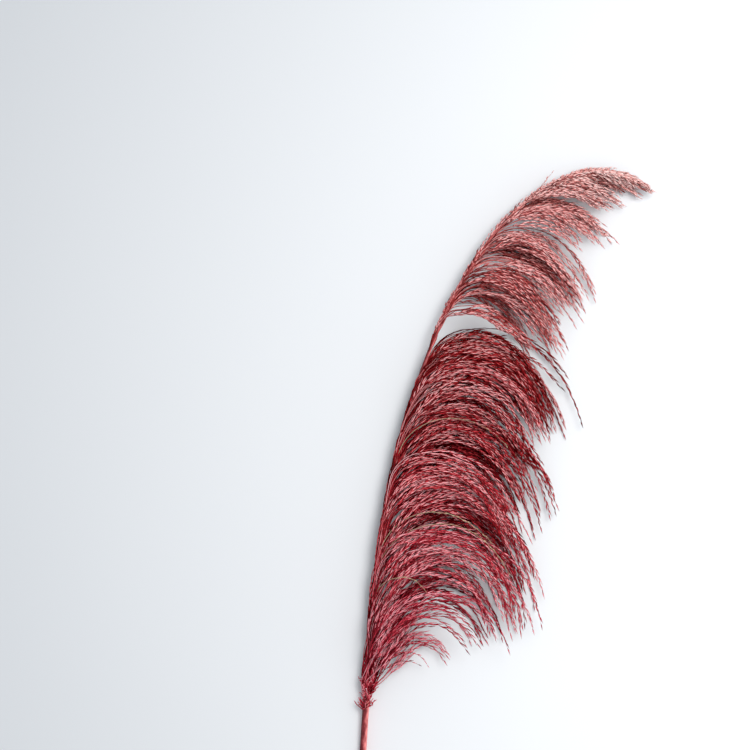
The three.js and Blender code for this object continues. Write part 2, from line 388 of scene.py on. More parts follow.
def stalk_dye_and_painted_light():
    dye = Finish("stalk_dye_and_painted_light")
    grain = dye.node("ShaderNodeUVMap", {"uv_map": "grain"})
    noises = []
    for stretch, detail in ((STREAK_STRETCH, 3.0), (FIBRE_STRETCH, 4.0)):
        long = dye.node("ShaderNodeVectorMath", {"operation": "MULTIPLY"}, [grain, stretch])
        values = {"Vector": long, "Scale": 1.0, "Detail": detail}
        noises.append(dye.node("ShaderNodeTexNoise", {}, values))
    streaks, fibres = noises
    around = dye.node("ShaderNodeSeparateXYZ", {}, [grain], "X")
    # Painted shade: the stalk's colour is darker on the side turned away from the lamp.
    side_shade = dye.node("ShaderNodeMath", {"operation": "SINE"}, [around * math.tau - SHADED_SIDE_TURN])
    shade_and_streaks = side_shade * PAINTED_SHADE_SIDE + DARK_SHARE
    shade_and_streaks = shade_and_streaks + (streaks - 0.5) * STREAK_DARKNESS + (fibres - 0.5) * FIBRE_DARKNESS
    body = dye.mix(shade_and_streaks, STALK_ROSE, STALK_MAROON)
    # Salmon pink is painted where the stalk is lit, and also where its fibres are pale.
    thin = (0.5 - shade_and_streaks) * THIN_DYE_AND_LIGHT + (fibres - FIBRE_MIDDLE) * FIBRE_PALENESS
    colour = dye.mix(thin, body, STALK_SALMON)
    roughness = fibres * STALK_ROUGHER + STALK_GLOSSIEST
    bump = dye.node("ShaderNodeBump", {}, {"Height": fibres, "Strength": 0.5, "Distance": 0.0006})
    return dye.paint(Base_Color=colour, Roughness=roughness, Normal=bump, Specular_IOR_Level=0.3)


def stalk():
    rng = np.random.default_rng(11)
    s = np.arange(-CULM_LENGTH, RACHIS_LENGTH + 0.1, STALK_STEP)
    line = rachis_point(s)
    _, side, top = frames(line)
    turn = np.arange(STALK_SIDES) * math.tau / STALK_SIDES
    relief = 1 - RIDGE_DEPTH * rng.random(STALK_SIDES)
    lobes = np.cos(SWELL_LOBES * turn + s[:, None] / SWELL_TWIST)
    swell = 1 + SWELL * np.sin(s / SWELL_LENGTH)[:, None] * lobes
    radius = rachis_radius(s)[:, None] * relief * swell
    points = line[:, None] + spokes(turn, side, top) * radius[..., None]
    points[0, :, 1] += FIBRE_RAG * (rng.random(STALK_SIDES) - FIBRE_RAG_MIDDLE)
    keep_above(points, 0)
    i, j = np.meshgrid(np.arange(len(s) - 1), np.arange(STALK_SIDES), indexing="ij")
    a = i * STALK_SIDES + j
    b = i * STALK_SIDES + (j + 1) % STALK_SIDES
    quads = np.stack([a, b, b + STALK_SIDES, a + STALK_SIDES], -1).reshape(-1, 4)
    u = np.stack([j, j + 1, j + 1, j], -1) / STALK_SIDES
    v = np.stack([s[i], s[i], s[i + 1], s[i + 1]], -1) / GRAIN_LENGTH
    piece = make_piece("stalk", points.reshape(-1, 3), quads, stalk_dye_and_painted_light())
    add_map(piece.data, "grain", np.stack([u, v], -1))
    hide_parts("stem")
    return points


stalk_rings = stalk()


# The cut end of the culm
#
# A clean slanting cut has left a ring of hard rind round paler, porous pith, which dried back
# a little inside the rind and took up less dye.

PITH_RINGS = 7
PITH_DEPTH = 1.3
PITH_SLOPE = (0.05, 0.6)
PITH_PALE = (0.66, 0.44, 0.32, 1)
PITH_PINK = (0.50, 0.19, 0.17, 1)


def dry_pith():
    pith = Finish("dry_pith")
    place = pith.node("ShaderNodeTexCoord", {}, output="Object")
    pores = pith.node("ShaderNodeTexVoronoi", {}, {"Vector": place, "Scale": 1700.0})
    stain = pith.node("ShaderNodeTexNoise", {}, {"Vector": place, "Scale": 380.0, "Detail": 3.0})
    colour = pith.mix(stain, PITH_PALE, PITH_PINK)
    bump = pith.node("ShaderNodeBump", {}, {"Height": pores, "Strength": 0.6, "Distance": 0.0003})
    return pith.paint(Base_Color=colour, Roughness=0.9, Normal=bump)


def pith():
    rim = stalk_rings[0]
    centre = rim.mean(0)
    rings = []
    for ring in range(PITH_RINGS):
        inward = ring / PITH_RINGS
        depth = PITH_DEPTH * smooth(inward, *PITH_SLOPE)
        rings.append(centre + (rim - centre) * (1 - inward) + np.array([0, depth, 0]))
    middle = centre + np.array([0, PITH_DEPTH, 0])
    points = np.concatenate([*rings, middle[None]])
    faces = []
    for a in range(len(points) - 1):
        b = a + 1 if (a + 1) % STALK_SIDES else a + 1 - STALK_SIDES
        if a < (PITH_RINGS - 1) * STALK_SIDES:
            faces += [(b, a, a + STALK_SIDES), (b, a + STALK_SIDES, b + STALK_SIDES)]
        else:
            faces.append((b, a, len(points) - 1))
    piece = make_piece("pith", points, np.array(faces), dry_pith())


pith()


# The branchlets
#
# Each branch of the head is a lock of fine branchlets that grow out of the rachis, run close
# along it, then arch over and hang. A branchlet is a bare thread first, and its outer part is
# thick with small closed spikelets in two rows. All of it is dry, papery and dyed right through.

LAYER_ANGLES = [-90, -45, 0, 45, 90]
LAYER_LIFTS = [-30, -9, 7, 23, 40]
MIDDLE_LAYER = 2
TOP_LAYER = 4
SEAT_GAP = 0.35
SPINE_RADII = (1.1, 0.65)
SOLID_STRANDS = 5
LOCK_LENGTHS = (0.92, 1.04)
LEAVE_WANDER = 5
HANG_WANDER = 8
LOCK_HANG_WANDER = 6
RISE_SHARE = 0.4
TIP_SAG = 0.33
SOLID_LAYER_DEPTH = 8.4
LEAST_LIFT = 0.35
LIFT_REACHES = (30, 170)
LYING_HEIGHT = 0.975
SOLID_PARTS = (0.55, 1.1)
PART_RARITY = 2
DRAW_BEND = 1.3
STEPS = 30
ACROSS = 0.7548777
UPWARD = 0.5698403

# What the repeatable draws of a lock are for
DRAW_LENGTH, DRAW_HANG, DRAW_PART, DRAW_LEAVE, DRAW_TIP = range(1, 6)
DRAW_WAVES = (127.1, 311.7, 74.7)
DRAW_SCALE = 43758.5453

# Share of the rachis, length of the branchlets, the heading in which their tips hang, how late
# they arch over, how closely a lock draws together, and the angle at which they leave the rachis
REACH = np.array([
    [0, 92, 90, 1.7, 0.2, 24],
    [0.015, 142, 148, 1.75, 0.2, 24],
    [0.03, 212, 163, 1.35, 0.25, 18],
    [0.07, 228, 167, 1.2, 0.3, 16],
    [0.1, 240, 173, 1.1, 0.35, 16],
    [0.14, 254, 180, 0.95, 0.4, 16],
    [0.18, 248, 175, 0.85, 0.4, 14],
    [0.23, 242, 167, 0.75, 0.45, 10],
    [0.29, 214, 162, 0.8, 0.45, 14],
    [0.38, 228, 167, 0.72, 0.45, 12],
    [0.42, 216, 160, 0.85, 0.45, 8],
    [0.5, 218, 164, 0.68, 0.5, 4],
    [0.53, 212, 160, 0.68, 0.5, 4],
    [0.58, 124, 138, 0.42, 0.6, 4],
    [0.6, 142, 161, 0.57, 0.5, 9],
    [0.63, 164, 157, 0.62, 0.5, 11],
    [0.66, 146, 150, 0.56, 0.5, 10],
    [0.72, 141, 152, 0.6, 0.45, 8],
    [0.74, 124, 144, 0.8, 0.45, 7],
    [0.79, 113, 140, 0.82, 0.4, 10],
    [0.82, 92, 123, 0.7, 0.4, 14],
    [0.86, 88, 123, 0.84, 0.4, 16],
    [0.91, 68, 115, 0.95, 0.4, 15],
    [1, 22, 110, 1, 0.4, 12],
])
LENGTH, HANG, LATENESS, PULL, LEAVE = range(1, 6)

# Share of the rachis, layer, and the length of rachis that the lock's branchlets leave from
LOCKS = [
    (0.02, 2, 18), (0.04, 4, 28), (0.066, 0, 34), (0.095, 1, 40), (0.12, 3, 40),
    (0.145, 2, 44), (0.17, 4, 44), (0.195, 0, 44), (0.22, 1, 44), (0.245, 3, 44),
    (0.27, 2, 44), (0.295, 4, 44), (0.32, 0, 44), (0.345, 1, 44), (0.37, 3, 44),
    (0.395, 2, 44), (0.42, 4, 44), (0.445, 0, 44), (0.47, 3, 36), (0.492, 1, 28),
    (0.506, 2, 20), (0.582, 4, 12), (0.606, 0, 16), (0.613, 3, 18), (0.632, 1, 22),
    (0.638, 4, 20), (0.664, 2, 20), (0.69, 0, 24), (0.705, 3, 24), (0.718, 1, 20),
    (0.74, 4, 18), (0.765, 2, 22), (0.79, 0, 24), (0.82, 4, 26), (0.855, 2, 28),
    (0.9, 0, 30), (0.935, 4, 30),
]

# The beds of the rachis that carry branchlets, as shares of it, with bare stretches between
BEDS = [(0, 0.525), (0.565, 0.592), (0.598, 0.65), (0.668, 0.724), (0.742, 1)]

# The head in parts from the base up: name, and its last lock
PARTS = [
    ("branchlets_base", 7),
    ("branchlets_lower", 12),
    ("branchlets_middle", 17),
    ("branchlets_upper", 24),
    ("branchlets_nodding", 30),
    ("branchlets_tip", 37),
]

# Stretches of the rachis over which the branchlets change: the shares of it where each change
# starts and is complete
LOWEST_END = (0.02, 0.1)
LOWEST_LENGTHEN = (0.06, 0.3)
LOW_SHADE_GROWS = (0.16, 0.04)
LOW_FAN_OPENS = (0.24, 0.14)
LOW_ENDS_THIN = (0.3, 0.16)
LOW_DYE_VARIES = (0.3, 0.2)
FULLNESS_FALLS = (0.6, 0.1)
UPPER_ENDS_EVEN = (0.38, 0.46)
BODY_TOP_CROWDS = (0.44, 0.48)
BODY_TOP = 0.55
DYE_PALES = (0.56, 0.6)
SHADE_LEAVES = (0.6, 0.84)
TIP_DRESSING = (0.66, 0.84)
TIP_PALES = (0.72, 0.86)
TIP_BARE_SHORTENS = (0.78, 0.88)
TIP_SHORTEST_GROW = (0.8, 0.9)
TIP_LOOSENS = (0.82, 0.9)
TIP_CROWDS = (0.84, 0.9)

# How many finer branchlets there are, and how long they are as a part of the lock's length
BRANCHLETS_PER_MM = 0.52
TIP_BRANCHLETS_PER_MM = 0.6
CROWDED_MORE = 0.6
LOWEST_MORE = 2.4
FINE_SHORTEST = 0.3
TIP_SHORTEST_MORE = 0.2
LOW_LONGEST = 0.62
FINE_LONGEST = 0.95
TIP_LONGEST_LESS = 0.1
TIP_LENGTH_LESS = 0.13
LONG_RARITY = 2
LOW_RARITY_MORE = 2.8
UPPER_RARITY_LESS = 0.6
LOWEST_RARITY_MORE = 1.6

# How the finer branchlets leave, arch and hang, in degrees and millimetres
FINE_HANG_WANDER = 6
LOWEST_HANG_WANDER = 14
LOW_HANG_WANDER = 4
TIP_HANG_WANDER = 8
TIP_HANG = 16
LOW_HANG = 12
FINE_LEAVE_WANDER = 4
LOWEST_LEAVE_WANDER = 9
LOWEST_LEAVE = 6
SHORT_ARCH = 0.12
LAYER_DEPTH = 14
LAYER_BLEND = 0.6
TIP_LAYER_BLEND = 0.55
ROOT_WANDER = 24
ROOT_SPREAD = 1.6
ROOT_MARGIN = 2
BUNDLE_DEPTH = 3.6
BUNDLE_THINS = 2

# How far a lock and the clumps in it draw together, and how the branchlets hug the rachis
TIP_PULL_LESS = 0.6
CLUMP_SIZE = 5
CLUMP_DRAW = 0.72
CLUMP_BEND = 1.5
LOWEST_CLUMP_LESS = 0.6
TIP_CLUMP_LESS = 0.5
HUG_LENGTHS = (18, 115)
HUG_AT_TIP = 0.16
HUG_FALL = 1.5
HUG_WRAP = 85
HUG_MOST_WRAP = 170
HUG_BELOW = 8
HUG_STEPS = 10
HUG_SEATED = (0, 0.3)
HUG_UNWINDS = (0.2, 1)
ROOT_SINK = 0.8
SOFTENINGS = 3

# How a branchlet sways, and how its side branchlet leaves it
SIDEWAYS_SWAY = 0.0055
UPWARD_SWAY = 0.005
SWAY_TURNS = (1.3, 3.1, 6.3)
SWAY_FADE = 0.75
SWAY_SETS_IN = (0.02, 0.35)
TWIG_LEAVES = (0.28, 0.62)
TWIG_REACHES = (0.26, 0.5)
TWIG_LAST_END = 0.985
TWIG_APART_SHARES = (0.035, 0.085)
TWIG_APART = (1.2, 3.5)
TWIG_BEND = 1.7
TWIG_FLATNESS = 0.7
TWIG_STEPS = 12
UNFORKED = 0.65

# Radii of the threads, at the root and at the tip
THREAD = (0.55, 0.2)
TWIG = (THREAD[0] * 0.75, 0.2)
THREAD_STEPS = 22

# Gap, length, girth and lean of the spikelets, along the head and at its tip
SPIKELETS = (4.4, 12.5, 1.75, 7)
TIP_SPIKELETS = (4.0, 11.0, 1.75, 13)
LOWEST_GIRTH = 0.78
SPIKELET_JITTER = 0.3
SPIKELET_LAST = 0.995
SPIKELET_TWIST = 0.11
SPIKELET_SCATTER = 0.4
SPIKELET_LEANS = (0.55, 1.5)
END_LEAN = 2
SPIKELET_ROLL = 0.35
SPIKELET_LENGTHS = (0.8, 1.15)
SPIKELET_GIRTHS = (0.85, 1.15)
END_TAPER = 0.2
END_TAPERS = (0.75, 1)
SPIKELET_SEAT = 0.22
BELLY_PLACE = 0.4
BELLY_BULGE = 0.12
BELLY_FLATNESS = 0.8
FLOOR_GAP = 0.05
SPIKELET_FACES = np.array(
    [[0, 1, 2], [0, 2, 3], [0, 3, 4], [0, 4, 1], [5, 2, 1], [5, 3, 2], [5, 4, 3], [5, 1, 4]]
)

# The share of a branchlet that is bare, before its first spikelet
BARE = 0.36
TIP_BARE = 0.2
TIP_BARE_LESS = 0.14
BARE_WANDER = 0.04
LEAST_BARE = 0.12
MOST_BARE = 0.75


def draw(lock, strand, use):
    """The repeatable draw from 0 to 1 that the solid locks are made with."""
    by_lock, by_strand, by_use = DRAW_WAVES
    wave = lock * by_lock + np.asarray(strand, float) * by_strand + use * by_use
    wave = np.sin(wave) * DRAW_SCALE
    return wave - np.floor(wave)


def either_way(drawn):
    return 2 * drawn - 1


def spread(i, turn):
    """Places from -1 to 1 that fill the range evenly, however many are taken."""
    share = 0.5 + np.asarray(i, float) * turn
    return either_way(share - np.floor(share))


def reach(share, column):
    return np.interp(share, REACH[:, 0], REACH[:, column])


def spine_distance(s):
    spine = between(*SPINE_RADII, np.asarray(s, float) / RACHIS_LENGTH)
    return rachis_radius(s) + SEAT_GAP + spine


def free_lines(s, layer, root, length, start, hang, lift, arch=1.0):
    """Lines of branchlets from their roots to their tips, as they rise, arch over and hang.

    A short branchlet ends before it has gone through the whole arch.
    """
    own_reach = smooth(reach(s / RACHIS_LENGTH, LENGTH), *LIFT_REACHES)
    share = between(LEAST_LIFT, 1, own_reach)
    level = np.maximum(rachis_height(s) + (LAYER_LIFTS[layer] + lift) * share, LYING_HEIGHT)
    arched = (np.arange(1, STEPS + 1) - 0.5) / STEPS * np.broadcast_to(arch, s.shape)[:, None]
    middle = arched ** reach(s / RACHIS_LENGTH, LATENESS)[:, None]
    turned = (middle + smooth(middle, 0, 1)) / 2
    heading = start[:, None] + (hang - start)[:, None] * turned
    t = np.arange(STEPS + 1) / STEPS
    rise = smooth(t, 0, RISE_SHARE)
    height = (root[:, 2:] + (level[:, None] - root[:, 2:]) * rise) * (1 - TIP_SAG * t * t)
    lines = np.empty((len(s), STEPS + 1, 3))
    lines[:, 0, :2] = root[:, :2]
    pace = length[:, None] / STEPS
    lines[:, 1:, 0] = root[:, :1] + np.cumsum(np.sin(heading) * pace, 1)
    lines[:, 1:, 1] = root[:, 1:2] + np.cumsum(np.cos(heading) * pace, 1)
    lines[:, :, 2] = np.maximum(height, LYING_HEIGHT)
    lines[:, 0, 2] = root[:, 2]
    return lines


def along_line(lines, t, rows=None):
    """Points at the shares t of each line, or of the lines in rows, between their own points."""
    last = lines.shape[1] - 1
    at = np.clip(t, 0, 1) * last
    step = np.minimum(at.astype(int), last - 1)
    rest = (at - step)[..., None]
    rows = np.arange(len(lines))[:, None] if rows is None else rows
    return lines[rows, step] * (1 - rest) + lines[rows, step + 1] * rest


def evenly(lines, steps):
    """The lines again, with their points at even distances, and their lengths."""
    lengths = np.linalg.norm(np.diff(lines, axis=1), axis=-1)
    reached = np.concatenate([np.zeros((len(lines), 1)), np.cumsum(lengths, 1)], 1)
    out = np.empty((len(lines), steps + 1, 3))
    for k in range(len(lines)):
        marks = np.linspace(0, reached[k, -1], steps + 1)
        for axis in range(3):
            out[k, :, axis] = np.interp(marks, reached[k], lines[k, :, axis])
    return out, reached[:, -1]


def branchlet_count(share, width):
    fullness = between(TIP_BRANCHLETS_PER_MM, BRANCHLETS_PER_MM, smooth(share, *FULLNESS_FALLS))
    body_top = smooth(share, *BODY_TOP_CROWDS) * (share < BODY_TOP)
    crowded = CROWDED_MORE * (body_top + smooth(share, *TIP_CROWDS))
    lowest = LOWEST_MORE * (1 - smooth(share, *LOWEST_END))
    return round(float(fullness * (1 + crowded + lowest) * width))


def leader_count(branchlets):
    """How many branchlets of a lock have others clumped round them."""
    return max(SOLID_STRANDS, branchlets // CLUMP_SIZE)


def parts_of_length(number, share, i):
    """Each branchlet's length as a part of its lock's. Long ones are rarer where the head thins."""
    lowest = 1 - smooth(share, *LOWEST_END)
    shortest = FINE_SHORTEST + TIP_SHORTEST_MORE * smooth(share, *TIP_SHORTEST_GROW)
    longest = between(LOW_LONGEST, FINE_LONGEST, smooth(share, *LOWEST_LENGTHEN))
    longest = longest - TIP_LONGEST_LESS * smooth(share, *TIP_LOOSENS)
    rarity = LONG_RARITY + LOW_RARITY_MORE * smooth(share, *LOW_ENDS_THIN)
    rarity = rarity - UPPER_RARITY_LESS * smooth(share, *UPPER_ENDS_EVEN)
    rarity = rarity + LOWEST_RARITY_MORE * lowest
    drawn = draw(number, i, DRAW_PART)
    finer = between(shortest, longest, drawn**rarity)
    solid = between(*SOLID_PARTS, drawn**PART_RARITY)
    return np.where(i >= SOLID_STRANDS, finer, solid)


def hugging_lines(s, share, angles, seats, rng):
    """The first stretch of each branchlet, wound close round the rachis on its way up to s."""
    fall = between(HUG_AT_TIP, 1, (1 - share) ** HUG_FALL)
    hug = rng.uniform(*HUG_LENGTHS, len(s)) * fall
    hug = np.minimum(hug, s + HUG_BELOW * rng.random(len(s)))
    t = np.arange(HUG_STEPS) / HUG_STEPS
    on = s[:, None] - hug[:, None] * (1 - t)
    out = between(rachis_radius(on) * ROOT_SINK, seats[:, None], smooth(t, *HUG_SEATED))
    wrap = np.clip(rng.normal(0, HUG_WRAP, len(s)), -HUG_MOST_WRAP, HUG_MOST_WRAP)
    unwound = np.radians(wrap)[:, None] * (1 - smooth(t, *HUG_UNWINDS))
    lines = beside_rachis(on, angles[:, None] + unwound, out)
    keep_above(lines, LYING_HEIGHT)
    return lines, hug


def lock_lines(number, rng):
    """The branchlets of one lock: the solid lock's own five, and many finer ones drawn to them."""
    share, layer, width = LOCKS[number]
    lowest = 1 - smooth(share, *LOWEST_END)
    fanned = smooth(share, *LOW_FAN_OPENS)
    tip = smooth(share, *TIP_LOOSENS)
    i = np.arange(branchlet_count(share, width))
    n = len(i)
    finer = i >= SOLID_STRANDS
    middle = np.array([share * RACHIS_LENGTH])
    angle = math.radians(LAYER_ANGLES[layer])
    leave = reach(share, LEAVE)
    own_length = between(*LOCK_LENGTHS, draw(number, 0, DRAW_LENGTH))
    length = np.array([reach(share, LENGTH) * own_length])
    hang = reach(share, HANG) + LOCK_HANG_WANDER * either_way(draw(number, 0, DRAW_HANG))
    root = beside_rachis(middle, angle, spine_distance(middle))
    start = rachis_heading(middle) + math.radians(leave)
    centre = free_lines(middle, layer, root, length, start, np.radians([hang]), np.zeros(1))

    wider = np.where(finer, ROOT_SPREAD, 1)
    s = middle + spread(i, ACROSS) * wider * width / 2
    s = np.clip(s, ROOT_MARGIN, RACHIS_LENGTH - ROOT_MARGIN)
    low, high = next(bed for bed in BEDS if share < bed[1])
    s = np.where(finer, np.clip(s, low * RACHIS_LENGTH, high * RACHIS_LENGTH), s)
    fan = leave + LEAVE_WANDER * either_way(draw(number, i, DRAW_LEAVE))
    start = rachis_heading(s) + np.radians(fan)
    hangs = hang + HANG_WANDER * either_way(draw(number, i, DRAW_TIP))
    part = parts_of_length(number, share, i)
    lengths = length * part * (1 - TIP_LENGTH_LESS * tip)
    wander = FINE_HANG_WANDER + LOWEST_HANG_WANDER * lowest + TIP_HANG_WANDER * tip
    wander = wander + LOW_HANG_WANDER * fanned
    hangs = hangs + np.where(finer, rng.normal(TIP_HANG * tip - LOW_HANG * fanned, wander, n), 0)
    arch = np.where(finer, np.minimum(part + SHORT_ARCH, 1), 1)
    wander = FINE_LEAVE_WANDER + LOWEST_LEAVE_WANDER * lowest
    start = start + np.where(finer, np.radians(rng.normal(LOWEST_LEAVE * lowest, wander, n)), 0)
    depth = np.where(finer, LAYER_DEPTH, SOLID_LAYER_DEPTH) / 2
    blend = np.where(finer, LAYER_BLEND * rng.random(n) + TIP_LAYER_BLEND * tip, 0)
    lift = depth * spread(i, UPWARD) + (LAYER_LIFTS[MIDDLE_LAYER] - LAYER_LIFTS[layer]) * blend
    angles = angle + np.radians(ROOT_WANDER) * np.where(finer, rng.uniform(-1, 1, n), 0)
    stacked = np.where(finer, BUNDLE_DEPTH * rng.random(n) * (1 - share) ** BUNDLE_THINS, 0)
    seats = spine_distance(s) + stacked
    root = beside_rachis(s, angles, seats)
    lines = free_lines(s, layer, root, lengths, start, np.radians(hangs), lift, arch)

    t = np.arange(STEPS + 1) / STEPS
    pull = reach(share, PULL) * (1 - TIP_PULL_LESS * tip) * t**DRAW_BEND
    matched = t[None] * np.where(finer, part, 1)[:, None]
    middle_line = along_line(np.repeat(centre, n, 0), matched)
    lines[..., :2] += (middle_line[..., :2] - lines[..., :2]) * pull[None, :, None]

    leaders = leader_count(n)
    guide = i % leaders
    matched = t[None] * (lengths / lengths[guide])[:, None]
    guide_lines = along_line(lines[guide], matched)
    draw_in = CLUMP_DRAW * (1 - LOWEST_CLUMP_LESS * lowest - TIP_CLUMP_LESS * tip) * t**CLUMP_BEND
    lines += (guide_lines - lines) * draw_in[None, :, None] * (i >= leaders)[:, None, None]

    close, hug = hugging_lines(s, share, angles, seats, rng)
    lines = np.concatenate([close, lines], 1)
    for _ in range(SOFTENINGS):
        lines[:, 1:-1] = (lines[:, :-2] + 2 * lines[:, 1:-1] + lines[:, 2:]) / 4
    return lines, hug


def waver(lines, lengths, rng):
    """Each branchlet sways a little to its sides and up and down, as dry ones do."""
    _, side, top = frames(lines)
    t = np.linspace(0, 1, lines.shape[1])[None]
    n = len(lines)
    for direction, amount in ((side, SIDEWAYS_SWAY), (top, UPWARD_SWAY)):
        for turns in SWAY_TURNS:
            phase = rng.uniform(0, math.tau, (n, 1))
            size = amount * lengths[:, None] * rng.normal(0, 1, (n, 1)) / turns**SWAY_FADE
            sway = size * np.sin(math.tau * turns * t + phase) * smooth(t, *SWAY_SETS_IN)
            lines = lines + direction * sway[..., None]
    keep_above(lines, THREAD[0])
    return lines


def side_lines(lines, lengths, rng):
    """Side branchlets, which leave a branchlet at a sharp angle and keep beside it."""
    n = len(lines)
    leave = rng.uniform(*TWIG_LEAVES, n)
    end = np.minimum(leave + rng.uniform(*TWIG_REACHES, n), TWIG_LAST_END)
    along = np.linspace(0, 1, TWIG_STEPS + 1)[None]
    base = along_line(lines, leave[:, None] + (end - leave)[:, None] * along)
    _, side, top = frames(base)
    around = rng.uniform(0, math.tau, (n, 1, 1))
    apart = rng.uniform(*TWIG_APART_SHARES, n) * (end - leave) * lengths
    apart = apart + rng.uniform(*TWIG_APART, n)
    away = apart[:, None] * (1 - (1 - along) ** TWIG_BEND)
    out = (np.cos(around) * side + TWIG_FLATNESS * np.sin(around) * top) * away[..., None]
    made = base + out
    keep_above(made, THREAD[0])
    return made, (end - leave) * lengths


# The dye map goes from deep at 0 to pale at 1 across, which is a branchlet's tone with painted
# light and shade added, and from the base of the head at 0 to its tip at 1 upwards. Threads are
# deep at their roots. The painted shade of a branchlet that lies below the others leaves its outer
# part. Painted light makes the top corner of a thread and the ridge and tip of a spikelet paler,
# and painted shade makes their lower sides deeper.
ROOT_TONE = -0.46
END_TONE = -0.02
SHADE_ENDS = (0.45, 0.85)
# Painted light and shade on a thread's corners: the top one paler, the two lower ones deeper
THREAD_LIGHT_AND_SHADE = np.array([0.2, -0.12, -0.13])
THREAD_PLACES = np.array([0, 0.005, 0.001])
SPIKELET_WAVE = 0.08
SPIKELET_WAVES = (0.8, 2.5)
SPIKELET_TONE_WANDER = 0.13
SPIKELET_END_DEEPER = 0.13
DEEPENING_END = (0.6, 1)
DEEPENING_HEAD = (0.8, 0.6)
# Painted light and shade on a spikelet's base, sides, ridge, underside and tip
SPIKELET_LIGHT_AND_SHADE = np.array([-0.7, -0.62, 0.88, -0.6, -0.8, 0.36])
SPIKELET_LIGHT_BASE = 0.3
SPIKELET_PLACES = np.array([0.004, 0.0, 0.004, 0.008, 0.0045, 0.0038])
MAP_MARGIN = 0.02
MAP_ENDS = (0.003, 0.994)
MAP_STEP = 0.001


def threads(lines, thick, thin, tone, position, shade=0.0, root_tone=ROOT_TONE):
    """Closed three-sided tubes along the lines, and the place of their points on the dye map."""
    n, rings = lines.shape[:2]
    _, side, top = frames(lines)
    turn = np.arange(3) * math.tau / 3 + math.pi / 2
    t = np.linspace(0, 1, rings)
    radius = between(thick, thin, t)[None, :, None, None]
    points = (lines[:, :, None] + spokes(turn, side, top) * radius).reshape(-1, 3)
    k, i, j = np.meshgrid(np.arange(n), np.arange(rings - 1), np.arange(3), indexing="ij")
    a = (k * rings + i) * 3 + j
    b = (k * rings + i) * 3 + (j + 1) % 3
    walls = np.stack([a, b, b + 3, a, b + 3, a + 3], -1).reshape(-1, 3)
    first = np.arange(n)[:, None] * rings * 3
    roots = first + np.array([[0, 2, 1]])
    tips = first + (rings - 1) * 3 + np.array([[0, 1, 2]])
    inner = 1 - smooth(t, *SHADE_ENDS)
    u = tone[:, None] + np.broadcast_to(shade, (n,))[:, None] * inner
    u = u + between(root_tone, END_TONE, np.sqrt(t))
    # Painted light makes each thread's top corner paler, and painted shade its lower corners
    # deeper.
    u = u[:, :, None] + THREAD_LIGHT_AND_SHADE
    v = position[:, None, None] + THREAD_PLACES + 0 * u
    return points, np.concatenate([walls, roots, tips]), np.stack([u, v], -1).reshape(-1, 2)


def spikelets(lines, lengths, first, dressing, tone, position, rng, shade=0.0):
    """Closed spikelets in two rows along the outer part of each line, and one on its tip."""
    gap, size, girth, lean = dressing
    first = np.broadcast_to(first, lengths.shape)
    counts = np.maximum(((1 - first) * lengths / gap).astype(int), 2)
    who = np.repeat(np.arange(len(lines)), counts)
    n = len(who)
    order = np.arange(n) - np.repeat(np.cumsum(counts) - counts, counts)
    ended = order == counts[who] - 1
    jitter = rng.uniform(-SPIKELET_JITTER, SPIKELET_JITTER, n)
    t = first[who] + (1 - first[who]) * (order + 0.5 + jitter) / counts[who]
    t = np.where(ended, 1.0, np.minimum(t, SPIKELET_LAST))
    place = along_line(lines, t, who)
    along, side, top = (unit(along_line(f, t, who)) for f in frames(lines))
    twist = rng.uniform(0, math.pi, len(lines))[who] + order * SPIKELET_TWIST
    around = (order % 2) * math.pi + twist + rng.normal(0, SPIKELET_SCATTER, n)
    outward = np.cos(around)[:, None] * side + np.sin(around)[:, None] * top
    tilt = np.radians(np.where(ended, END_LEAN, lean * rng.uniform(*SPIKELET_LEANS, n)))[:, None]
    pointing = along * np.cos(tilt) + outward * np.sin(tilt)
    level, upper = across_lines(pointing)
    roll = rng.normal(0, SPIKELET_ROLL, (n, 1))
    across = level * np.cos(roll) - upper * np.sin(roll)
    ridge = level * np.sin(roll) + upper * np.cos(roll)
    taper = 1 - END_TAPER * smooth(t, *END_TAPERS)
    long = (size * taper * rng.uniform(*SPIKELET_LENGTHS, n))[:, None]
    wide = (girth / 2 * taper * rng.uniform(*SPIKELET_GIRTHS, n))[:, None]
    high = wide * BELLY_FLATNESS
    base = place + outward * SPIKELET_SEAT
    belly = base + pointing * long * BELLY_PLACE + outward * BELLY_BULGE
    end = base + pointing * long
    points = [base, belly + across * wide, belly + ridge * high]
    points = np.stack([*points, belly - across * wide, belly - ridge * high, end], 1)
    low = points[..., 2].min(1)
    points[..., 2] += np.maximum(FLOOR_GAP - low, 0)[:, None]
    faces = (np.arange(n)[:, None, None] * 6 + SPIKELET_FACES).reshape(-1, 3)
    waves = rng.uniform(*SPIKELET_WAVES, len(lines))[who]
    phase = rng.uniform(0, math.tau, len(lines))[who]
    own = tone[who] + SPIKELET_WAVE * np.sin(math.tau * waves * t + phase)
    own = own + rng.normal(0, SPIKELET_TONE_WANDER, n)
    deepening = SPIKELET_END_DEEPER * smooth(position, *DEEPENING_HEAD)[who]
    own = own - deepening * smooth(t, *DEEPENING_END)
    own = own + np.broadcast_to(shade, (len(lines),))[who] * (1 - smooth(t, *SHADE_ENDS))
    # Painted light makes each spikelet's ridge and tip paler, and painted shade its sides,
    # underside and base deeper, the more so the paler it is.
    u = own[:, None] + SPIKELET_LIGHT_AND_SHADE * (SPIKELET_LIGHT_BASE + own[:, None])
    v = position[who][:, None] + SPIKELET_PLACES
    return points.reshape(-1, 3), faces, np.stack([u, v], -1).reshape(-1, 2)


def dressed(lines, lengths, first, sizes, dressing, dyed, rng, shade=0.0, root_tone=ROOT_TONE):
    """Threads with their spikelets. Dyed is the tones and the places up the head."""
    return [
        threads(lines, *sizes, *dyed, shade, root_tone),
        spikelets(lines, lengths, first, dressing, *dyed, rng, shade),
    ]
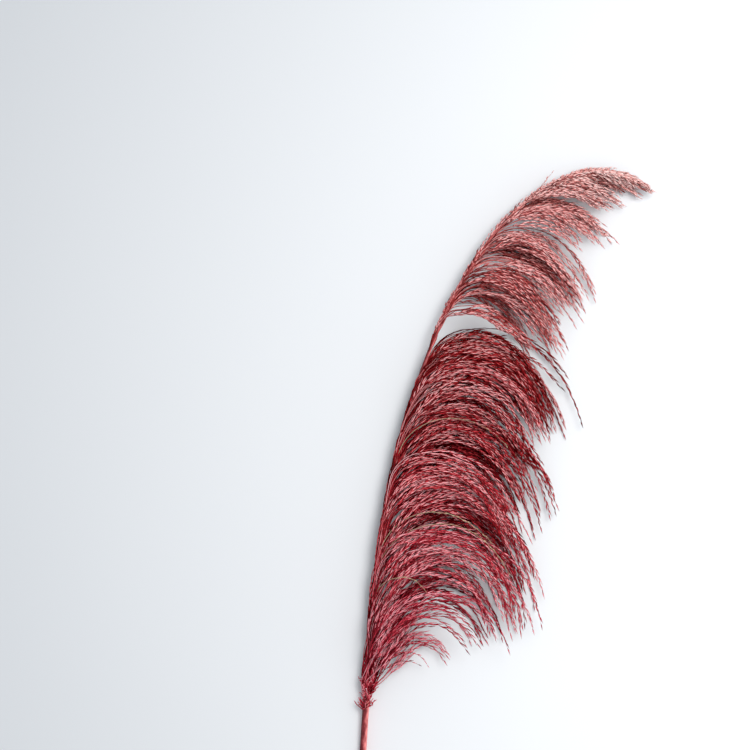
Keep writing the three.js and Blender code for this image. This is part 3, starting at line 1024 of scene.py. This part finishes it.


# The dye, by place along the head: its depths, which painted shade also takes, its body, and its
# paler parts, which painted highlights also take
DYE_AND_SHADE_DEPTHS = [
    (0, (0.11, 0.0006, 0.003, 1)),
    (0.4, (0.075, 0.0003, 0.0006, 1)),
    (0.75, (0.11, 0.003, 0.004, 1)),
    (1, (0.14, 0.01, 0.01, 1)),
]
DYE_BODY = [
    (0, (0.78, 0.062, 0.103, 1)),
    (0.3, (0.7, 0.046, 0.063, 1)),
    (0.48, (0.47, 0.024, 0.029, 1)),
    (0.6, (0.69, 0.105, 0.102, 1)),
    (0.72, (0.76, 0.19, 0.182, 1)),
    (0.85, (0.9, 0.38, 0.35, 1)),
    (1, (0.92, 0.45, 0.41, 1)),
]
DYE_AND_HIGHLIGHT_PALE = [
    (0, (1, 0.58, 0.65, 1)),
    (0.4, (1, 0.6, 0.61, 1)),
    (0.75, (1, 0.72, 0.7, 1)),
    (1, (1, 0.88, 0.85, 1)),
]
DEEP_ROUGHNESS = 0.72
PALE_SMOOTHER = 0.22


def branchlet_dye_and_painted_light():
    """Colour and painted light by the dye map: across it deep to pale, up it from base to tip."""
    dye = Finish("branchlet_dye_and_painted_light")
    dye_map = dye.node("ShaderNodeUVMap", {"uv_map": "OFBake"})
    tone = dye.node("ShaderNodeSeparateXYZ", {}, [dye_map], "X")
    position = dye.node("ShaderNodeSeparateXYZ", {}, [dye_map], "Y")
    depths, body, pale = (
        dye.node("ShaderNodeValToRGB", {"stops": stops}, [position])
        for stops in (DYE_AND_SHADE_DEPTHS, DYE_BODY, DYE_AND_HIGHLIGHT_PALE)
    )
    deeper = dye.mix(tone * 2, depths, body)
    colour = dye.mix(tone * 2 - 1, deeper, pale)
    roughness = DEEP_ROUGHNESS - tone * PALE_SMOOTHER
    return dye.paint(Base_Color=colour, Roughness=roughness, Specular_IOR_Level=0.0)


def dyed_piece(name, meshes, material):
    """One piece of threads and spikelets. No face of it is without width on the dye map."""
    counts = np.cumsum([0] + [len(points) for points, _, _ in meshes])
    points = np.concatenate([p for p, _, _ in meshes])
    faces = np.concatenate([f + counts[k] for k, (_, f, _) in enumerate(meshes)])
    dye_map = np.clip(np.concatenate([m for _, _, m in meshes]), *MAP_ENDS)
    dye_map[:, 0] += MAP_STEP * (np.arange(len(dye_map)) % 3)
    piece = make_piece(name, points, faces, material)
    add_map(piece.data, "OFBake", dye_map[faces.ravel()])
    return piece


# How pale the branchlets are, and how deep the painted shade is on those that lie below the others
MIDDLE_TONE = 0.42
LOW_PALER = 0.04
UPPER_PALER = 0.13
TIP_PALER = 0.05
CLUMP_TONE_WANDER = 0.2
TONE_WANDER = 0.29
LOW_TONE_WANDER = 0.06
LEADER_LIT_DEEPEST = 0.24
DEEPEST = 0.08
TIP_ROOTS_PALER = 0.75
SHADED_BELOW = 7
SHADE_PER_MM = 0.02
SHADE_LIMITS = (-0.42, 0.1)
LOW_SHADE = 0.14
TWIG_SHADE = 0.6
PLACE_WANDER = 0.02


def lock_tones(share, lines, rng):
    """Each branchlet's tone, its place up the head, and the painted shade on it where it lies low.
    """
    n = len(lines)
    leaders = leader_count(n)
    clump = rng.normal(0, CLUMP_TONE_WANDER, leaders)[np.arange(n) % leaders]
    # Painted shade darkens branchlets that lie below the rachis, and painted light slightly
    # lightens those above it. It fades towards the tip, and the lowest locks get more painted shade
    # inside.
    above = lines[:, STEPS // 2, 2] - rachis_height(share * RACHIS_LENGTH) - SHADED_BELOW
    shade = np.clip(SHADE_PER_MM * above, *SHADE_LIMITS)
    shade = shade * (1 - smooth(share, *SHADE_LEAVES)) - LOW_SHADE * smooth(share, *LOW_SHADE_GROWS)
    low = smooth(share, *LOW_DYE_VARIES)
    paler = LOW_PALER * low + UPPER_PALER * smooth(share, *DYE_PALES)
    paler = paler + TIP_PALER * smooth(share, *TIP_PALES)
    wander = TONE_WANDER + LOW_TONE_WANDER * low
    tone = MIDDLE_TONE + paler + clump + rng.normal(0, wander, n)
    # The leaders, which make the outer strands, are kept paler, painted as catching the light.
    tone = np.clip(tone, np.where(np.arange(n) < leaders, LEADER_LIT_DEEPEST, DEEPEST), 1)
    position = np.clip(share + rng.normal(0, PLACE_WANDER, n), MAP_MARGIN, 1 - MAP_MARGIN)
    return tone, position, shade


def head_part(name, numbers, material, rng):
    """One piece that stands for several locks: their threads, side branchlets and spikelets."""
    meshes = []
    for number in numbers:
        share = LOCKS[number][0]
        lines, hug = lock_lines(number, rng)
        lines, lengths = evenly(lines, STEPS)
        lines = waver(lines, lengths, rng)
        n = len(lines)
        forked = rng.random(n) < 1 - UNFORKED * smooth(share, *LOW_DYE_VARIES)
        twigs, twig_lengths = side_lines(lines[forked], lengths[forked], rng)
        tone, position, shade = lock_tones(share, lines, rng)
        lines, _ = evenly(lines, THREAD_STEPS)
        tip = float(smooth(share, *TIP_DRESSING))
        gap, size, girth, lean = between(np.array(SPIKELETS), np.array(TIP_SPIKELETS), tip)
        girth = girth * between(LOWEST_GIRTH, 1, smooth(share, *LOWEST_END))
        dressing = (gap, size, girth, lean)
        shortening = smooth(share, *TIP_BARE_SHORTENS)
        bare = (between(BARE, TIP_BARE, tip) - TIP_BARE_LESS * shortening) * (lengths - hug) + hug
        first = np.clip(bare / lengths + rng.normal(0, BARE_WANDER, n), LEAST_BARE, MOST_BARE)
        root_tone = ROOT_TONE * (1 - TIP_ROOTS_PALER * shortening)
        dyed = (tone, position)
        meshes += dressed(lines, lengths, first, THREAD, dressing, dyed, rng, shade, root_tone)
        dyed = (tone[forked], position[forked])
        shade = shade[forked] * TWIG_SHADE
        meshes += dressed(twigs, twig_lengths, LEAST_BARE, TWIG, dressing, dyed, rng, shade)
    piece = dyed_piece(name, meshes, material)
    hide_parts(*[f"lock_{number + 1:02d}" for number in numbers])


dye = branchlet_dye_and_painted_light()
first_lock = 0
for part_number, (part_name, last_lock) in enumerate(PARTS):
    seeded = np.random.default_rng(100 + part_number)
    head_part(part_name, range(first_lock, last_lock), dye, seeded)
    first_lock = last_lock


# The short twigs along the outer side
#
# On the outer side of its upper half the rachis carries only short twigs. They lie close along
# it with their spikelets pointing forward, and make its edge ragged.

EDGE_TWIGS = 66
EDGE_TWIGS_START = 0.5
EDGE_TWIGS_THICKEN = 0.7
EDGE_LENGTHS = (18, 52)
EDGE_SHORTENS = (1.1, 0.75)
EDGE_ANGLES = (95, 215)
EDGE_AWAY = (0.2, 3.4)
EDGE_BEND = 1.4
EDGE_SEAT = 0.5
EDGE_PAST_TIP = 3
EDGE_SWAY = 1.6
EDGE_SPIKELETS = (4.0, 6.2, 1.5, 13)
EDGE_BARE = 0.1
EDGE_TONES = (0.5, 0.2, 0.1, 0.92)


def drawn_tones(tones, n, rng):
    """Tones by their mean, their wander and the two ends that they keep to."""
    return np.clip(rng.normal(*tones[:2], n), *tones[2:])


def settle(lines, sway, rng):
    """Lines that have swayed, with their points at even distances, and their lengths."""
    lines, lengths = evenly(lines, STEPS)
    lines = waver(lines, lengths * sway, rng)
    return evenly(lines, THREAD_STEPS)[0], lengths


def outer_twigs():
    rng = np.random.default_rng(31)
    share = between(EDGE_TWIGS_START, 1, rng.random(EDGE_TWIGS) ** EDGE_TWIGS_THICKEN)
    lengths = rng.uniform(*EDGE_LENGTHS, EDGE_TWIGS) * between(*EDGE_SHORTENS, share)
    s = np.minimum(share * RACHIS_LENGTH, RACHIS_LENGTH + EDGE_PAST_TIP - lengths)
    t = np.arange(STEPS + 1) / STEPS
    on = s[:, None] + lengths[:, None] * t
    angle = np.radians(rng.uniform(*EDGE_ANGLES, EDGE_TWIGS))[:, None] + 0 * t
    away = rng.uniform(*EDGE_AWAY, EDGE_TWIGS)[:, None] * t**EDGE_BEND
    near = np.minimum(on, RACHIS_LENGTH)
    lines = beside_rachis(near, angle, rachis_radius(near) * ROOT_SINK + EDGE_SEAT + away)
    beyond = np.maximum(on - RACHIS_LENGTH, 0)
    tip_heading = rachis_heading(RACHIS_LENGTH)
    lines[..., 0] += np.sin(tip_heading) * beyond
    lines[..., 1] += np.cos(tip_heading) * beyond
    keep_above(lines, LYING_HEIGHT)
    lines, lengths = settle(lines, EDGE_SWAY, rng)
    tone = drawn_tones(EDGE_TONES, EDGE_TWIGS, rng)
    position = np.clip(share, MAP_MARGIN, 1 - MAP_MARGIN)
    dyed = (tone, position)
    meshes = dressed(lines, lengths, EDGE_BARE, THREAD, EDGE_SPIKELETS, dyed, rng)
    dyed_piece("outer_twigs", meshes, dye)


outer_twigs()


# The ruff
#
# Below the head the lowest branches have broken off. Their crinkled stubs still stand round the
# stalk, with some torn fibres among them.

STUB_COUNT = 14
STUB_PLACES = (-24, -3)
STUB_LENGTHS = (7, 15)
STUB_THREAD = (0.75, 0.45)
STUB_ROOT_DEPTH = 2
STUB_LEANS = (22, 48)
STUB_BEND_PLACE = 0.45
STUB_BEND = 0.8
STUB_CROOK = 1.2
STUB_CRINKLE = 0.3
STUB_POSITION = 0.04
STUB_TONES = (0.48, 0.2, 0.1, 0.95)
GOLDEN_TURN = 0.618034
STUB_POINTS = 9

FIBRE_COUNT = 80
FIBRE_PLACES = (-23, 8)
FIBRE_ANGLES = (-0.2, 1.2)
FIBRE_LENGTHS = (3.5, 10)
FIBRE_LEANS = (8, 60)
FIBRE_BENDS = (0.8, 1.5)
FIBRE_CRINKLE = 0.62
FIBRE_THREAD = (0.7, 0.4)
FIBRE_LOWEST = 0.35
FIBRE_POSITION = 0.05
FIBRE_TONES = (0.5, 0.28, 0.1, 1)

DRAW_STUB_PLACE, DRAW_STUB_LENGTH, DRAW_STUB_LEAN, DRAW_STUB_CROOK = range(8, 12)


def stub_line(number):
    """The bent line of one stub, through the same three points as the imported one."""
    s = between(*STUB_PLACES, draw(number, 0, DRAW_STUB_PLACE))
    angle = math.tau * ((number * GOLDEN_TURN) % 1)
    length = between(*STUB_LENGTHS, draw(number, 0, DRAW_STUB_LENGTH))
    lean = math.radians(between(*STUB_LEANS, draw(number, 0, DRAW_STUB_LEAN)))
    inside = rachis_radius(s) - STUB_ROOT_DEPTH
    points = []
    for along in (0, STUB_BEND_PLACE, 1):
        crook = STUB_CROOK * draw(number, along, DRAW_STUB_CROOK) if along else 0
        bent = along**STUB_BEND
        outward = inside + (length + STUB_ROOT_DEPTH) * math.sin(lean) * bent + crook
        points.append(beside_rachis(s + length * math.cos(lean) * along, angle, outward))
    return np.array(points)


def ruff():
    rng = np.random.default_rng(17)
    marks = np.linspace(0, 1, STUB_POINTS)
    stubs = np.empty((STUB_COUNT, STUB_POINTS, 3))
    for number in range(STUB_COUNT):
        corners = stub_line(number)
        for axis in range(3):
            stubs[number, :, axis] = np.interp(marks, [0, STUB_BEND_PLACE, 1], corners[:, axis])
    stubs[:, 1:-1] = (stubs[:, :-2] + 2 * stubs[:, 1:-1] + stubs[:, 2:]) / 4
    stubs[:, 2:] += rng.normal(0, STUB_CRINKLE, (STUB_COUNT, STUB_POINTS - 2, 3))
    fibres = []
    for _ in range(FIBRE_COUNT):
        s = rng.uniform(*FIBRE_PLACES)
        angle = rng.uniform(*FIBRE_ANGLES) * math.pi
        length = rng.uniform(*FIBRE_LENGTHS)
        lean = math.radians(rng.uniform(*FIBRE_LEANS))
        on = s + length * math.cos(lean) * marks
        away = length * math.sin(lean) * marks ** rng.uniform(*FIBRE_BENDS)
        line = beside_rachis(on, angle + 0 * marks, rachis_radius(s) * ROOT_SINK + away)
        line[1:] += np.cumsum(rng.normal(0, FIBRE_CRINKLE, (STUB_POINTS - 1, 3)), 0)
        fibres.append(line)
    fibres = np.array(fibres)
    keep_above(stubs, STUB_THREAD[0])
    keep_above(fibres, FIBRE_LOWEST)
    stub_tone = drawn_tones(STUB_TONES, STUB_COUNT, rng)
    fibre_tone = drawn_tones(FIBRE_TONES, FIBRE_COUNT, rng)
    meshes = [
        threads(stubs, *STUB_THREAD, stub_tone, np.full(STUB_COUNT, STUB_POSITION)),
        threads(fibres, *FIBRE_THREAD, fibre_tone, np.full(FIBRE_COUNT, FIBRE_POSITION)),
    ]
    dyed_piece("ruff", meshes, dye)


ruff()


# The pale branchlets
#
# Four branchlets of the head took up hardly any dye and stayed the straw beige of the dry
# plant. They lie among the dyed ones, near the top of the head.

PALE_TONE = (0.62, 0.50, 0.33, 1)
PALE_SHADE = (0.40, 0.24, 0.15, 1)
STRAW_STAIN = 1.6
STRAW_STAIN_START = 0.3
PALE_ANGLE = 80
PALE_LEAVE_WANDER = 4
PALE_THREAD = (0.6, 0.3)
PALE_BARE = 0.45
PALE_SPIKELETS = (6.5, 6.5, 1.2, 6)

# Share of the rachis, length, heading in which it ends, and how far above the top layer it lies
PALE_BRANCHLETS = [
    (0.145, 70, 150, -6),
    (0.19, 175, 150, -9),
    (0.215, 150, 142, -12),
    (0.36, 150, 140, -11),
]


def undyed_straw():
    straw = Finish("undyed_straw")
    place = straw.node("ShaderNodeTexCoord", {}, output="Object")
    stain = straw.node("ShaderNodeTexNoise", {}, {"Vector": place, "Scale": 160.0, "Detail": 3.0})
    colour = straw.mix(stain * STRAW_STAIN - STRAW_STAIN_START, PALE_TONE, PALE_SHADE)
    return straw.paint(Base_Color=colour, Roughness=0.6, Specular_IOR_Level=0.3)


def pale_branchlets():
    rng = np.random.default_rng(23)
    share, lengths, hangs, above = (np.array(column, float) for column in zip(*PALE_BRANCHLETS))
    n = len(share)
    s = share * RACHIS_LENGTH
    root = beside_rachis(s, np.radians(np.full(n, PALE_ANGLE)), spine_distance(s))
    leave = reach(share, LEAVE) + rng.normal(0, PALE_LEAVE_WANDER, n)
    start = rachis_heading(s) + np.radians(leave)
    lines = free_lines(s, TOP_LAYER, root, lengths, start, np.radians(hangs), above)
    lines, lengths = settle(lines, 1, rng)
    tone = np.full(n, 0.5)
    meshes = dressed(lines, lengths, PALE_BARE, PALE_THREAD, PALE_SPIKELETS, (tone, tone), rng)
    dyed_piece("pale_branchlets", meshes, undyed_straw())


pale_branchlets()


# The strays
#
# Three single branchlets stand away from the rest. Two hang out below the fan of the lowest
# branches, and a short one stands off the outer side near the tip.

STRAY_SWAY = 1.5
STRAY_THREAD = (0.45, 0.2)
STRAY_BARE = 0.35
STRAY_SPIKELETS = (4.5, 7, 1.2, 9)
STRAY_TONES = (0.3, 0.18, 0.08, 0.8)
STRAY_LOWEST_PLACE = 0.03

# Share of the rachis, angle round it, length, headings at its root and its tip, and lift
STRAYS = [
    (0.005, 30, 60, 36, 120, 6),
    (0.012, 60, 78, 34, 150, 9),
    (0.82, 150, 24, 36, 40, 2),
]


def strays():
    rng = np.random.default_rng(29)
    share, angle, lengths, start, hang, lift = (np.array(c, float) for c in zip(*STRAYS))
    n = len(share)
    s = share * RACHIS_LENGTH
    root = beside_rachis(s, np.radians(angle), spine_distance(s))
    headings = (np.radians(start), np.radians(hang))
    lines = free_lines(s, MIDDLE_LAYER, root, lengths, *headings, lift)
    lines, lengths = settle(lines, STRAY_SWAY, rng)
    tone = drawn_tones(STRAY_TONES, n, rng)
    position = np.clip(share, STRAY_LOWEST_PLACE, 1 - MAP_MARGIN)
    dyed = (tone, position)
    meshes = dressed(lines, lengths, STRAY_BARE, STRAY_THREAD, STRAY_SPIKELETS, dyed, rng)
    dyed_piece("stray_branchlets", meshes, dye)


strays()
